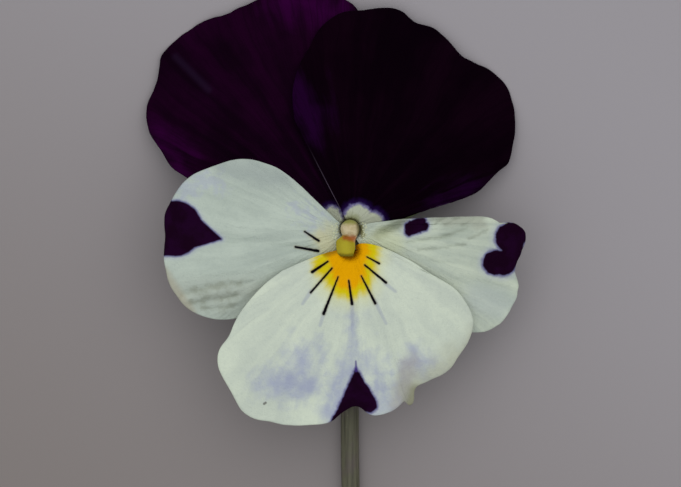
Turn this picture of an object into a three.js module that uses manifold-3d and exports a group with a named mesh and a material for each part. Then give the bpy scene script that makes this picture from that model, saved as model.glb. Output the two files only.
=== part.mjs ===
// A cut viola flower, lying on its back on a flat surface. Millimetres, +Z up.
// The face looks up, the stem runs along -Y under it, and the upper petals arch back down to the surface.
// The pieces are drawn around the throat: Z = 0 is the level of the lower petal at the throat, and the
// flower's own axis stands at (0, axisY). At the end the whole flower is set down with its lowest point
// at Z = 0 and the middle of its box at X = Y = 0.
import * as THREE from 'three';
import { mergeVertices } from 'three/addons/utils/BufferGeometryUtils.js';
import Module from 'manifold-3d';

const wasm = await Module();
wasm.setup();

// Overall size of the face
const faceWidth = 36.9;
const faceLength = 42.1;
const drawnWidth = 36.9; // the outlines below are drawn at this width
const drawnLength = 42.1; // and at this length

// Petals
const petalThickness = 0.3;
const petalGap = 0.42; // clear space between two petals that lie over each other
const throatDepth = 3.4; // from the face down to where the petals are attached
const footReach = 2.2; // how far out a petal's foot bends before it lies in its own level
const clawLength = 3; // how far a petal stays narrow before it fans out

// How far the petals come down from their own level, at half the face's width from the axis
const sideLeftDroop = 0.9;
const sideRightDroop = 2.2;
const sideLobeFall = 1.6; // the lower lobes of the side petals hang down by this as well
const lowerDroop = 0.9;
const lowerRightTurn = 3.2; // the right half of the lower petal turns down by this

// The arch of the upper petals, as drawn
const archMiddlePoint = [-2.5, 2];
const archRadius = 21.5;
const archNarrowing = 0.92; // the arch is longer along Y than along X by the inverse of this
const overlapEdge = 1.5; // the right upper petal lies on the left one up to this X
const fallWidth = 8; // and comes down to the ground over this width

// Where the two sides of the petals' feet stand round the axis, and which way they lead out, in degrees
// from +X
const upperLeftFoot = { stands: [139, 121], leads: [143, 122] };
const upperRightFoot = { stands: [104, 34], leads: [119, 7] };
const sideLeftFoot = { stands: [153, 208], leads: [137, 222] };
const sideRightFoot = { stands: [22, -28], leads: [14, -36] };
const lowerFoot = { stands: [180, 360], leads: [183, 377] };
const sepalAngles = [90, 156, 222, 318, 24];
const stamenAngles = [90, 162, 234, 306, 18];

// Pieces in the throat
const axisY = 1.55;
const fitGap = 0.22; // clear space between neighbouring pieces
const ovaryRadius = 0.8;
const stigmaRadius = 0.85;
const stigmaHeight = 0.1; // height of the stigma's centre
const antherDepth = 0.4; // size across, towards the axis
const antherWidth = 1.0;
const antherLength = 2.2;
const hornRadius = 0.15;

// Spur
const spurRadius = 0.95;
const spurWall = 0.2;
const spurMouthDepth = 2.2;
const spurLength = 5.1;

// Stem and receptacle
const stemRadius = 0.95;
const stemLength = 62; // from the flower's axis to the cut end
const receptacleRadius = 1.35;
const receptacleHeight = 1.1;

// Sepals and bracts
const sepalThickness = 0.3;
const sepalWidth = 2.7;
const sepalLength = 9.5;
const earLength = 2.0;
const bractLength = 3.0;
const bractWidth = 0.9;
const bractThickness = 0.25;
const bractPlace = 9; // down the stem from the flower's axis

// Depths that follow from the sizes above
const receptacleTop = -throatDepth - fitGap;
const neck = receptacleTop - receptacleHeight / 2; // where the stem's centre line ends in the receptacle
const spurTip = -spurMouthDepth - spurLength;
const stemLevel = spurTip - 2 * fitGap - stemRadius; // the stem passes just under the spur
const hookRadius = (neck - stemLevel) / (1 + Math.SQRT1_2); // the hook leaves the receptacle at 45 degrees
const ground = stemLevel - stemRadius;

// Rings around the axis, from the ovary outwards
const antherRing = ovaryRadius + fitGap / 2 + antherDepth / 2;
const footRing = antherRing + antherDepth / 2 + fitGap + petalThickness / 2;
const sepalRing = receptacleRadius + fitGap + sepalThickness / 2;
const spurY = axisY - receptacleRadius - fitGap - spurRadius;

// Colours
const purple = 0x1a0418;
const white = 0xe4e8d8;
const green = 0x6f8a3c;
const stemGreen = 0x7d8a52;
const cream = 0xd8d2a0;
const antherColour = 0xd9a24a;

const degrees = THREE.MathUtils.degToRad;
const clamp = THREE.MathUtils.clamp;

// The volume inside a closed triangle grid, negative if its faces point inwards.
function signedVolume(points, index) {
  let volume = 0;
  for (let i = 0; i < index.length; i += 3) {
    const [a, b, c] = [points[index[i]], points[index[i + 1]], points[index[i + 2]]];
    volume += a.dot(new THREE.Vector3().crossVectors(b, c)) / 6;
  }
  return volume;
}

// A closed skin of even thickness on both sides of the sheet place(u, v), with u and v from 0 to 1.
function sheet(columns, rows, thickness, place) {
  const middle = (i, j) => place(clamp(i / columns, 0, 1), clamp(j / rows, 0, 1));
  const points = [];
  for (const side of [0.5, -0.5]) {
    for (let i = 0; i <= columns; i += 1) {
      for (let j = 0; j <= rows; j += 1) {
        const along = middle(i + 0.5, j).sub(middle(i - 0.5, j));
        const across = middle(i, j + 0.5).sub(middle(i, j - 0.5));
        const normal = along.cross(across).normalize();
        points.push(middle(i, j).addScaledVector(normal, side * thickness));
      }
    }
  }
  const back = (columns + 1) * (rows + 1);
  const at = (i, j) => i * (rows + 1) + j;
  const index = [];
  const quad = (a, b, c, d) => index.push(a, b, c, a, c, d);
  for (let i = 0; i < columns; i += 1) {
    for (let j = 0; j < rows; j += 1) {
      quad(at(i, j), at(i + 1, j), at(i + 1, j + 1), at(i, j + 1));
      quad(back + at(i, j), back + at(i, j + 1), back + at(i + 1, j + 1), back + at(i + 1, j));
    }
  }
  const rim = [];
  for (let i = 0; i < columns; i += 1) rim.push(at(i, 0));
  for (let j = 0; j < rows; j += 1) rim.push(at(columns, j));
  for (let i = columns; i > 0; i -= 1) rim.push(at(i, rows));
  for (let j = rows; j > 0; j -= 1) rim.push(at(0, j));
  rim.forEach((a, n) => {
    const b = rim[(n + 1) % rim.length];
    quad(a, back + a, back + b, b);
  });
  if (signedVolume(points, index) < 0) index.reverse();
  const geometry = new THREE.BufferGeometry().setFromPoints(points);
  geometry.setIndex(index);
  return geometry;
}

// A geometry as a solid for joining, with its shared vertices merged.
function solid(geometry) {
  const bare = geometry.index ? geometry.clone() : geometry;
  bare.deleteAttribute('normal');
  bare.deleteAttribute('uv');
  const merged = mergeVertices(bare, 1e-5);
  const vertProperties = new Float32Array(merged.attributes.position.array);
  const triVerts = new Uint32Array(merged.index.array);
  return new wasm.Manifold(new wasm.Mesh({ numProp: 3, vertProperties, triVerts }));
}

// The union of closed geometries.
function join(...geometries) {
  const mesh = geometries.map(solid).reduce((a, b) => a.add(b)).getMesh();
  const geometry = new THREE.BufferGeometry();
  geometry.setAttribute('position', new THREE.BufferAttribute(new Float32Array(mesh.vertProperties), 3));
  geometry.setIndex(new THREE.BufferAttribute(new Uint32Array(mesh.triVerts), 1));
  return geometry;
}

// A body turned around an upright axis at (x, y), from [radius, height] pairs.
function turned(profile, sides, x, y) {
  const points = profile.map(([radius, height]) => new THREE.Vector2(radius, height));
  return new THREE.LatheGeometry(points, sides).rotateX(Math.PI / 2).translate(x, y, 0);
}

// A round rod along a smooth curve through the points.
function rod(points, radius, sides, steps) {
  const section = new THREE.Shape();
  for (let k = 0; k < sides; k += 1) {
    const turn = (2 * Math.PI * k) / sides;
    const [x, y] = [radius * Math.cos(turn), radius * Math.sin(turn)];
    if (k === 0) section.moveTo(x, y);
    else section.lineTo(x, y);
  }
  section.closePath();
  const extrudePath = new THREE.CatmullRomCurve3(points);
  return new THREE.ExtrudeGeometry(section, { steps, bevelEnabled: false, extrudePath });
}

// A point at a distance from the flower's axis, in the direction of an angle in degrees.
function aroundAxis(angle, radius, height) {
  const turn = degrees(angle);
  return new THREE.Vector3(radius * Math.cos(turn), axisY + radius * Math.sin(turn), height);
}

// An outline point at the real size of the face.
function sized([x, y]) {
  const realX = (x * faceWidth) / drawnWidth;
  const realY = axisY + ((y - axisY) * faceLength) / drawnLength;
  return new THREE.Vector3(realX, realY, 0);
}

// Outlines, from one side of the petal's foot round to the other
const upperRightOutline = [
  [-5.4, 12.1], [-5.6, 14.6], [-5.1, 17], [-2.6, 21.4], [-0.8, 22.6], [1.4, 22.9],
  [3.4, 23.1], [4.9, 22.8], [6.3, 21.7], [8.1, 21.1], [9.7, 19.7], [12.4, 17.5], [14.9, 15.8], [16, 13.1],
  [15.8, 9.7], [14.6, 7.3], [12.6, 5.3], [10.7, 4.4], [7.3, 3.4],
];
const upperLeftOutline = [
  [-15.8, 6.5], [-18.4, 9.2], [-19.8, 12.6], [-18.9, 15.5], [-18.3, 18.4], [-15.5, 20.9], [-11.2, 22.8],
  [-7.3, 24.3], [-4.4, 24.6], [-1.5, 24.2], [0.9, 22.6],
];
const sideLeftOutline = [
  [-4.5, 5.5], [-7.3, 7.6], [-9.6, 8.3], [-11.2, 8.3], [-13.2, 7.7], [-15.9, 6.4], [-17.4, 4.3],
  [-18, 2.9], [-18.1, -1.2], [-17.3, -4.3], [-15.7, -6.2], [-13.7, -7.1], [-11.6, -7.2], [-8.6, -6.2],
  [-5.8, -3.9],
];
const sideRightOutline = [
  [12.7, 2.8], [14.2, 2.5], [16, 2.1], [17.1, 0.9], [16.6, -0.9],
  [16, -2.4], [16.4, -4], [15.9, -5.7], [14.4, -7.8], [12.3, -8.5], [9.4, -7.5], [6.6, -5],
];
const lowerOutline = [
  [-6.6, -2.5], [-8.4, -3.9], [-10.3, -6], [-11.8, -8.9], [-12.9, -11.2], [-12.5, -12.7],
  [-11.5, -14.3], [-10.6, -16], [-9.2, -16.9], [-6.4, -17.5], [-4.2, -17.5], [-1.7, -17.1], [-0.9, -16.4],
  [0.6, -15.6], [1.8, -16.4], [2.5, -16.6], [4, -16.2], [4.9, -15.6], [6.2, -13.9], [7.7, -13.2],
  [9.4, -12.3], [11.6, -9.3], [12, -7.8], [11.4, -5.8], [8.4, -3.2], [6.2, -1.7],
];

// How far a point lies towards the edge of the arched upper petals: 0 at their middle, 1 near their edge.
const archMiddle = sized(archMiddlePoint);
function archReach(x, y) {
  const across = ((x - archMiddle.x) * drawnWidth) / faceWidth;
  const along = ((y - archMiddle.y) * drawnLength) / faceLength;
  return Math.hypot(across, archNarrowing * along) / archRadius;
}
const archProfile = (reach) => 1.5 * reach ** 2 - 0.5 * reach ** 4;

// Levels of the petals, from the front one back
const levelStep = petalThickness + petalGap;
const sideLevel = -levelStep;
const rightLevel = -2 * levelStep;
const leftLevel = -3 * levelStep;

// The upper petals share one arch, which brings the edge of the left one down to the ground. The right one
// lies on it, and away from their overlap it comes down to the ground as well.
function upperSurface(level, fall) {
  const furthest = Math.max(...upperLeftOutline.map(sized).map((p) => archReach(p.x, p.y)));
  const drop = (leftLevel - ground - petalThickness / 2) / archProfile(furthest);
  return (x, y) => {
    const aside = clamp((x - overlapEdge) / fallWidth, 0, 1);
    return level - drop * archProfile(archReach(x, y)) - fall * aside ** 2;
  };
}

const leftSurface = upperSurface(leftLevel, 0);
const rightSurface = upperSurface(rightLevel, levelStep);

// The side and lower petals droop a little towards their edge, and tilt to one side.
function flatSurface(level, droop, tiltX, tiltY) {
  const size = faceWidth / 2;
  return (x, y) => {
    const reach = Math.hypot(x, y - axisY) / size;
    return level - droop * reach ** 2 - tiltX * Math.max(0, x / size) ** 2 - tiltY * Math.max(0, -y / size);
  };
}

// A value part of the way along a [from, to] range.
const between = ([from, to], share) => from + (to - from) * share;

// A petal: rays lead out of its narrow foot and fan out to its outline, and near the throat they bend down
// to the foot's depth. foot(angle) is a point of the foot.
function petal({ outline, foot, angles, footDepth, surface, columns, rows }) {
  const edge = new THREE.CatmullRomCurve3(outline.map(sized), false, 'centripetal');
  return sheet(columns, rows, petalThickness, (u, v) => {
    const start = foot(between(angles.stands, u));
    const end = edge.getPointAt(u);
    const lead = degrees(between(angles.leads, u));
    const length = Math.min(clawLength, start.distanceTo(end) / 2);
    const claw = start.clone().add(new THREE.Vector3(length * Math.cos(lead), length * Math.sin(lead), 0));
    const point = new THREE.QuadraticBezierCurve3(start, claw, end).getPoint(v);
    const bend = Math.max(0, 1 - point.distanceTo(start) / footReach) ** 2;
    point.z = THREE.MathUtils.lerp(surface(point.x, point.y), -footDepth, bend);
    return point;
  });
}

// Most feet stand on the ring around the stamens, and the lower petal's is the front wall of its spur.
const ringFoot = (angle) => aroundAxis(angle, footRing, 0);
function spurFoot(angle) {
  const radius = spurRadius - spurWall / 2;
  const turn = degrees(angle);
  return new THREE.Vector3(radius * Math.cos(turn), spurY + radius * Math.sin(turn), 0);
}

// The hollow spur: a thin cup with a round closed tip, open to the throat.
function spur() {
  const inner = spurRadius - spurWall;
  const outside = [];
  const inside = [];
  const turns = 4;
  for (let k = 0; k <= turns; k += 1) {
    const turn = (Math.PI / 2) * (k / turns);
    outside.push([spurRadius * Math.sin(turn), spurTip + spurRadius * (1 - Math.cos(turn))]);
    inside.unshift([inner * Math.sin(turn), spurTip + spurRadius - inner * Math.cos(turn)]);
  }
  const mouth = [[spurRadius, -spurMouthDepth], [inner, -spurMouthDepth]];
  return turned([...outside, ...mouth, ...inside], 16, 0, spurY);
}

function ringPetal(outline, angles, surface, columns, footDepth = throatDepth) {
  return petal({ outline, foot: ringFoot, angles, footDepth, surface, columns, rows: 7 });
}

// The left upper petal's foot passes under the right one's.
function upperLeft() {
  return ringPetal(upperLeftOutline, upperLeftFoot, leftSurface, 30, throatDepth + petalThickness);
}

function upperRight() {
  return ringPetal(upperRightOutline, upperRightFoot, rightSurface, 34);
}

function sideLeft() {
  const surface = flatSurface(sideLevel, sideLeftDroop, 0, sideLobeFall);
  return ringPetal(sideLeftOutline, sideLeftFoot, surface, 26);
}

function sideRight() {
  const surface = flatSurface(sideLevel, sideRightDroop, 0, sideLobeFall);
  return ringPetal(sideRightOutline, sideRightFoot, surface, 26);
}

function lower() {
  const blade = petal({
    outline: lowerOutline,
    foot: spurFoot,
    angles: lowerFoot,
    footDepth: spurMouthDepth + 2 * spurWall,
    surface: flatSurface(0, lowerDroop, lowerRightTurn, 0),
    columns: 38,
    rows: 7,
  });
  return join(blade, spur());
}

// A narrow leaf along a curve. Each knot is [distance out, height, half width]; the leaf faces along angle.
function leaf({ knots, centre, angle, columns, thickness, upright }) {
  const curve = new THREE.CatmullRomCurve3(knots.map((knot) => new THREE.Vector3(...knot)));
  const turn = degrees(angle);
  const out = new THREE.Vector3(Math.cos(turn), Math.sin(turn), 0);
  const up = new THREE.Vector3(0, 0, 1);
  const aside = new THREE.Vector3(-Math.sin(turn), Math.cos(turn), 0);
  const [rise, spread] = upright ? [aside, up] : [up, aside];
  return sheet(columns, 4, thickness, (u, v) => {
    const knot = curve.getPoint(u);
    const across = 2 * v - 1;
    const hollow = 0.25 * Math.abs(knot.z) * across ** 2;
    return centre.clone()
      .addScaledVector(out, knot.x)
      .addScaledVector(rise, knot.y + hollow)
      .addScaledVector(spread, knot.z * across);
  });
}

// A sepal: its ear points back and out past the hook of the stem, and its blade follows the backs of the
// petals.
function sepal(angle) {
  const root = receptacleTop - 0.7 * receptacleHeight;
  const under = (radius) => {
    const { x, y } = aroundAxis(angle, radius, 0);
    const lowest = Math.min(leftSurface(x, y), rightSurface(x, y));
    return lowest - petalThickness - sepalThickness - 2 * fitGap;
  };
  const tip = sepalRing + sepalLength;
  const half = sepalWidth / 2;
  const knots = [
    [sepalRing + 0.8 * stemRadius, root - earLength, 0.3],
    [sepalRing + 0.45 * stemRadius, root - earLength / 2, 0.75],
    [sepalRing, root, 0.6],
    [sepalRing + 0.9, Math.min(root + 0.3, under(sepalRing + 0.9)), 0.75],
    [sepalRing + 0.4 * sepalLength, Math.min(root + 0.2, under(sepalRing + 0.4 * sepalLength)), half],
    [sepalRing + 0.75 * sepalLength, Math.min(root, under(sepalRing + 0.75 * sepalLength)), 0.7 * half],
    [tip, under(tip), 0.1],
  ];
  const centre = new THREE.Vector3(0, axisY, 0);
  return leaf({ knots, centre, angle, columns: 14, thickness: sepalThickness, upright: false });
}

// A bract: a small scale beside the stem that points up towards the flower.
function bract(side) {
  const start = stemRadius + fitGap + bractThickness / 2;
  const centre = new THREE.Vector3(side * start, axisY - bractPlace, stemLevel);
  const knots = [
    [0, 0, 0.35 * bractWidth],
    [0.4 * bractLength, 0.1, 0.5 * bractWidth],
    [0.8 * bractLength, 0.35, 0.3 * bractWidth],
    [bractLength, 0.5, 0.05],
  ].map(([along, aside, half]) => [along, -side * aside, half]);
  return leaf({ knots, centre, angle: 90, columns: 6, thickness: bractThickness, upright: true });
}

// The receptacle with the stem: it leaves the back of the flower, hooks round the spur and runs along -Y.
function stem() {
  const bottom = receptacleTop - receptacleHeight;
  const cup = turned([
    [0, bottom], [0.8 * receptacleRadius, bottom], [receptacleRadius, bottom + 0.4 * receptacleHeight],
    [receptacleRadius, receptacleTop - 0.1], [receptacleRadius - 0.1, receptacleTop], [0, receptacleTop],
  ], 20, 0, axisY);
  const middleY = axisY - hookRadius * Math.SQRT1_2;
  const middleZ = neck - hookRadius * Math.SQRT1_2;
  const points = [];
  for (let turn = 45; turn >= -90; turn -= 22.5) {
    const [y, z] = [Math.cos(degrees(turn)), Math.sin(degrees(turn))];
    points.push(new THREE.Vector3(0, middleY + hookRadius * y, middleZ + hookRadius * z));
  }
  const run = middleY - axisY + stemLength;
  for (const [share, aside] of [[0.15, 0], [0.4, 0.1], [0.7, 1.1], [1, 2.6]]) {
    points.push(new THREE.Vector3(aside, middleY - share * run, stemLevel));
  }
  return join(cup, rod(points, stemRadius, 10, 64));
}

// The pistil: ovary, style and round stigma on the flower's axis.
function pistil() {
  const foot = receptacleTop + fitGap;
  const shoulder = foot + 1.6;
  const profile = [
    [0, foot], [0.6 * ovaryRadius, foot], [ovaryRadius, foot + 0.6], [0.85 * ovaryRadius, shoulder - 0.4],
    [0.3, shoulder], [0.25, stigmaHeight - stigmaRadius],
  ];
  for (const turn of [-60, -30, 0, 30, 60]) {
    const [out, up] = [Math.cos(degrees(turn)), Math.sin(degrees(turn))];
    profile.push([stigmaRadius * out, stigmaHeight + stigmaRadius * up]);
  }
  profile.push([0, stigmaHeight + stigmaRadius]);
  return turned(profile, 16, 0, axisY);
}

// A stamen: a flat anther against the ovary. The lower two have a thin horn that reaches into the spur.
function stamen(angle) {
  const height = receptacleTop + fitGap + antherLength / 2;
  const anther = new THREE.SphereGeometry(0.5, 10, 8)
    .rotateX(Math.PI / 2)
    .scale(antherDepth, antherWidth, antherLength)
    .rotateZ(degrees(angle));
  const place = aroundAxis(angle, antherRing, height);
  anther.translate(place.x, place.y, place.z);
  if (place.y > axisY) return anther;
  const inSpur = Math.sign(place.x) * (hornRadius + fitGap / 2);
  const overRim = -spurMouthDepth + hornRadius + fitGap;
  const points = [
    place.clone(),
    new THREE.Vector3(place.x * 0.8, (place.y + spurY + spurRadius) / 2, (place.z + overRim) / 2),
    new THREE.Vector3(inSpur * 1.1, spurY + spurRadius - spurWall / 2, overRim),
    new THREE.Vector3(inSpur, spurY + 0.1, -spurMouthDepth - 0.3),
    new THREE.Vector3(inSpur, spurY, -spurMouthDepth - 0.35 * spurLength),
    new THREE.Vector3(inSpur, spurY, -spurMouthDepth - 0.65 * spurLength),
  ];
  return join(anther, rod(points, hornRadius, 6, 12));
}

const flower = new THREE.Group();
function add(name, geometry, color, roughness) {
  const mesh = new THREE.Mesh(geometry, new THREE.MeshStandardMaterial({ color, roughness, metalness: 0 }));
  mesh.name = name;
  flower.add(mesh);
}

add('petal_upper_left', upperLeft(), purple, 0.6);
add('petal_upper_right', upperRight(), purple, 0.6);
add('petal_side_left', sideLeft(), white, 0.6);
add('petal_side_right', sideRight(), white, 0.6);
add('petal_lower', lower(), white, 0.6);
sepalAngles.forEach((angle, n) => add(`sepal_${n + 1}`, sepal(angle), green, 0.55));
add('stem', stem(), stemGreen, 0.5);
add('bract_left', bract(-1), green, 0.6);
add('bract_right', bract(1), green, 0.6);
add('pistil', pistil(), cream, 0.4);
stamenAngles.forEach((angle, n) => add(`stamen_${n + 1}`, stamen(angle), antherColour, 0.6));

const box = new THREE.Box3().setFromObject(flower, true);
const middle = box.getCenter(new THREE.Vector3());
flower.position.set(-middle.x, -middle.y, -box.min.z);

export default flower;
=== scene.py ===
"""A cut viola flower that lies on its back: its looks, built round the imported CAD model."""

import math

import bpy
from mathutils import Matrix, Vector, noise


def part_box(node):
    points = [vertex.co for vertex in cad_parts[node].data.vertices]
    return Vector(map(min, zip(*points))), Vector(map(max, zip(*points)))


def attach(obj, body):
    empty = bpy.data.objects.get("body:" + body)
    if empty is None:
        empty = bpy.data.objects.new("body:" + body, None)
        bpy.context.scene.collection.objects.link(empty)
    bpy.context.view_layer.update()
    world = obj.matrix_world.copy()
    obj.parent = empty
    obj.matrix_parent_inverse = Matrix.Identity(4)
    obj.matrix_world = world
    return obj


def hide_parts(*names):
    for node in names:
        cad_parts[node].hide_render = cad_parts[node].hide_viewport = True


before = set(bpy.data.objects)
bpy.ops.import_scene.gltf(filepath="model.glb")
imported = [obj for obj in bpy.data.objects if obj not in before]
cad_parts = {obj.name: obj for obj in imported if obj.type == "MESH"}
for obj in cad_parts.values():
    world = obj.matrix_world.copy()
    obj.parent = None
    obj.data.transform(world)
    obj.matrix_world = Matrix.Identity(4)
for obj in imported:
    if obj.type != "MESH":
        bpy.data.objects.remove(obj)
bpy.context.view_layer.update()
bpy.ops.object.select_all(action="DESELECT")

# noise_vector shifts its noise by this seed
noise.seed_set(5)

# The flower's own lengths are millimetres from the throat: X towards the right petals, Y towards the upper
# petals, Z out of the face. The pistil's box says where the throat is in the frame.
MM = 0.001
AXIS_Y = 1.55
STIGMA_TOP = 0.95
pistil_low, pistil_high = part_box("pistil")
THROAT = Vector((
    (pistil_low.x + pistil_high.x) / 2,
    (pistil_low.y + pistil_high.y) / 2 - AXIS_Y * MM,
    pistil_high.z - STIGMA_TOP * MM,
))
GROUND = -THROAT.z / MM

# Camera, straight above the face
VIEW_X, VIEW_Y = -0.92, 0.15
VIEW_HEIGHT = 500
LENS = 272.3

# How bright a white card shows that lies face up in the studio's light
LIGHT = 0.8

# Levels, thickness and feet of the petals
LAYER = 0.72
SIDE_LEVEL = -LAYER
RIGHT_LEVEL = -2 * LAYER
LEFT_LEVEL = -3 * LAYER
PETAL_THICKNESS = 0.2
PETAL_ROWS = 60
FACE_SIZE = 18.45
FOOT_REACH = 0.18
CLAW_LENGTH = 3
FOOT_RING = 0.93
THROAT_DEPTH = 3.4

# The lower petal's foot, and the spur under it
CHANNEL_Y = -0.5
CHANNEL_RADIUS = 0.48
CHANNEL_REACH = 0.9
SPUR_Y = -0.97
SPUR_RADIUS = 0.95
SPUR_WALL = 0.2
SPUR_MOUTH = -1.6
SPUR_TIP = -7.3

# Anthers, receptacle and stem
ANTHER_RING = 0.68
RECEPTACLE_TOP = -3.62
RECEPTACLE_RADIUS = 1.35
RECEPTACLE_HEIGHT = 1.1
STEM_RADIUS = 0.95
STEM_LEVEL = -8.69
HOOK_RADIUS = 2.648
STEM_LENGTH = 62
SEPAL_RING = 1.72
BRACTS_BACK = 9

# Corners nearer than this are one, in metres
SEAM = 2e-6

# Outlines of the petals, from one side of the foot round to the other
UPPER_RIGHT_EDGE = [
    (-5.4, 12.1), (-5.6, 14.6), (-5.1, 17), (-3.9, 19.4), (-2.6, 21.4), (-1, 22.5), (1.4, 22.9),
    (3.4, 23.1), (4.9, 22.8), (6.3, 21.7), (8.1, 21.1), (9.7, 19.7), (10.9, 18.4), (12.4, 17.5),
    (13.6, 17), (14.9, 15.8), (15.6, 14.6), (16, 13.1), (16.1, 11.7), (15.8, 9.7), (15.3, 7.8),
    (14.6, 7.3), (12.6, 5.3), (10.7, 4.4), (8.7, 3.9), (7.3, 3.4),
]
UPPER_LEFT_EDGE = [
    (-14.4, 5.4), (-15.8, 6.5), (-17.3, 7.5), (-18.4, 9.2), (-19.4, 10.7), (-19.8, 12.6), (-19.5, 14.1),
    (-18.9, 15.5), (-18.6, 16.8), (-18.3, 18.4), (-17.5, 19.4), (-15.5, 20.9), (-14.1, 21.8), (-12.6, 22.2),
    (-11.2, 22.8), (-9.5, 23.6), (-7.3, 24.3), (-4.4, 24.6), (-1.5, 24.2), (0.2, 23.5), (0.9, 22.6),
]
SIDE_LEFT_EDGE = [
    (-4.5, 5.5), (-5.9, 6.7), (-7.3, 7.6), (-9.6, 8.3), (-11.2, 8.3), (-13.2, 7.7), (-14.7, 7.1),
    (-15.9, 6.4), (-16.7, 5.4), (-17.4, 4.3), (-18, 2.9), (-18, 0.7), (-18.1, -1.2), (-17.9, -2.6),
    (-17.3, -4.3), (-15.7, -6.2), (-13.7, -7.1), (-11.6, -7.2), (-8.6, -6.4), (-5.4, -4.4),
]
SIDE_RIGHT_EDGE = [
    (12.7, 2.8), (13.8, 2.6), (15, 2), (15.7, 2.2), (16.9, 1.5), (17.1, 0.9), (16.6, -0.9),
    (16, -2.4), (16.4, -4), (15.9, -5.7), (14.4, -7.8), (12.3, -8.5), (9.4, -7.6), (6, -5.4),
]
LOWER_EDGE = [
    (-6.6, -2.5), (-8.4, -3.9), (-10.3, -6), (-11.1, -7.3), (-11.8, -8.9), (-12.7, -10.1), (-12.9, -11.2),
    (-12.5, -12.7), (-11.5, -14.3), (-10.6, -16), (-9.2, -16.9), (-7.7, -17.2), (-6.4, -17.5),
    (-4.2, -17.5), (-1.7, -17.1), (-0.9, -16.4), (0.6, -15.6), (1.8, -16.4), (2.5, -16.6), (4, -16.2),
    (4.9, -15.6), (5.3, -15.1), (5.7, -15.7), (6.2, -15.3), (6.3, -13.9), (7.7, -13.2), (9.4, -12.3),
    (10.7, -10.6), (11.6, -9.3), (12, -7.8), (11.8, -6.7), (11.4, -5.8), (10.3, -4.3), (8.4, -3.2),
    (6.2, -1.7),
]


# ---- numbers and places

def at(x, y, z):
    """A place in the frame, from the flower's own millimetres."""
    return THROAT + Vector((x, y, z)) * MM


def between(ends, share):
    return ends[0] + (ends[1] - ends[0]) * share


def ease(value):
    """0 below 0, 1 above 1, and a smooth step between."""
    value = min(1, max(0, value))
    return value * value * (3 - 2 * value)


def around(angle, radius, centre_y=AXIS_Y):
    turn = math.radians(angle)
    return Vector((radius * math.cos(turn), centre_y + radius * math.sin(turn)))


def smooth_line(points, steps=14):
    """Closely spaced points on a smooth curve through the given ones."""
    knots = [Vector(point) for point in points]
    knots = [2 * knots[0] - knots[1]] + knots + [2 * knots[-1] - knots[-2]]
    line = []
    for a, b, c, d in zip(knots, knots[1:], knots[2:], knots[3:]):
        t1 = (b - a).length ** 0.5
        t2 = t1 + (c - b).length ** 0.5
        t3 = t2 + (d - c).length ** 0.5
        for step in range(steps):
            t = t1 + (t2 - t1) * step / steps
            ab = a.lerp(b, t / t1)
            bc = b.lerp(c, (t - t1) / (t2 - t1))
            cd = c.lerp(d, (t - t2) / (t3 - t2))
            abc = ab.lerp(bc, t / t2)
            bcd = bc.lerp(cd, (t - t1) / (t3 - t1))
            line.append(abc.lerp(bcd, (t - t1) / (t2 - t1)))
    line.append(knots[-2])
    return line


def along(points):
    """A function that gives the place at a share of the way along a smooth line through the points."""
    line = smooth_line(points)
    reached = [0]
    for a, b in zip(line, line[1:]):
        reached.append(reached[-1] + (b - a).length)

    def place(share):
        want = min(1, max(0, share)) * reached[-1]
        low, high = 0, len(line) - 1
        while high - low > 1:
            middle = (low + high) // 2
            if reached[middle] <= want:
                low = middle
            else:
                high = middle
        return line[low].lerp(line[high], (want - reached[low]) / (reached[high] - reached[low]))

    return place


def fold(x, y, x0, y0, x1, y1, width, height):
    """The height at (x, y) of a soft ridge between two points, which fades out at its ends."""
    start = Vector((x0, y0))
    run = Vector((x1, y1)) - start
    reach = Vector((x, y)) - start
    share = reach.dot(run) / run.length_squared
    aside = abs(reach.x * run.y - reach.y * run.x) / run.length
    ends = ease(share / 0.25 + 0.5) * ease((1 - share) / 0.25 + 0.5)
    return height * ends * math.exp(-((aside / width) ** 2))


def folds(x, y, lines):
    return sum(fold(x, y, *line) for line in lines)


def uneven(a, b, c):
    """Smooth noise between about -1 and 1, with lumps about 1 across."""
    return noise.noise(Vector((a, b, c)))


# ---- modelling helpers

def object_mode():
    if bpy.context.object and bpy.context.object.mode != "OBJECT":
        bpy.ops.object.mode_set(mode="OBJECT")


def only(*pieces):
    """Object mode, with just these pieces selected."""
    object_mode()
    bpy.ops.object.select_all(action="DESELECT")
    for piece in pieces:
        piece.select_set(True)
    if pieces:
        bpy.context.view_layer.objects.active = pieces[0]


def remove(piece):
    only(piece)
    bpy.ops.object.delete()


def named(name):
    piece = bpy.context.object
    piece.name = name
    piece.data.name = name
    return piece


def copy_of(pattern, name):
    only(pattern)
    bpy.ops.object.duplicate(linked=False)
    return named(name)


def wear(piece, *skins):
    for skin in skins:
        piece.data.materials.append(skin)


def edit(piece, mode="VERT"):
    only(piece)
    bpy.ops.object.mode_set(mode="EDIT")
    bpy.ops.mesh.select_mode(type=mode)
    bpy.ops.mesh.select_all(action="SELECT")


def flip(piece):
    """Turns all of a sheet's faces over."""
    edit(piece)
    bpy.ops.mesh.flip_normals()
    object_mode()


def modify(piece, kind, **settings):
    """Adds a modifier with its settings and applies it."""
    only(piece)
    modifier = piece.modifiers.new(kind.title(), kind)
    for key, value in settings.items():
        setattr(modifier, key, value)
    bpy.ops.object.modifier_apply(modifier=modifier.name)


def smoother(piece):
    modify(piece, "SUBSURF", levels=1, render_levels=1)


def united(name, piece, other):
    """Makes one solid of two."""
    modify(piece, "BOOLEAN", object=other, operation="UNION", solver="EXACT")
    remove(other)
    piece.name = piece.data.name = name


def joined(name, first, *others):
    only(first, *others)
    bpy.ops.object.join()
    return named(name)


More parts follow.
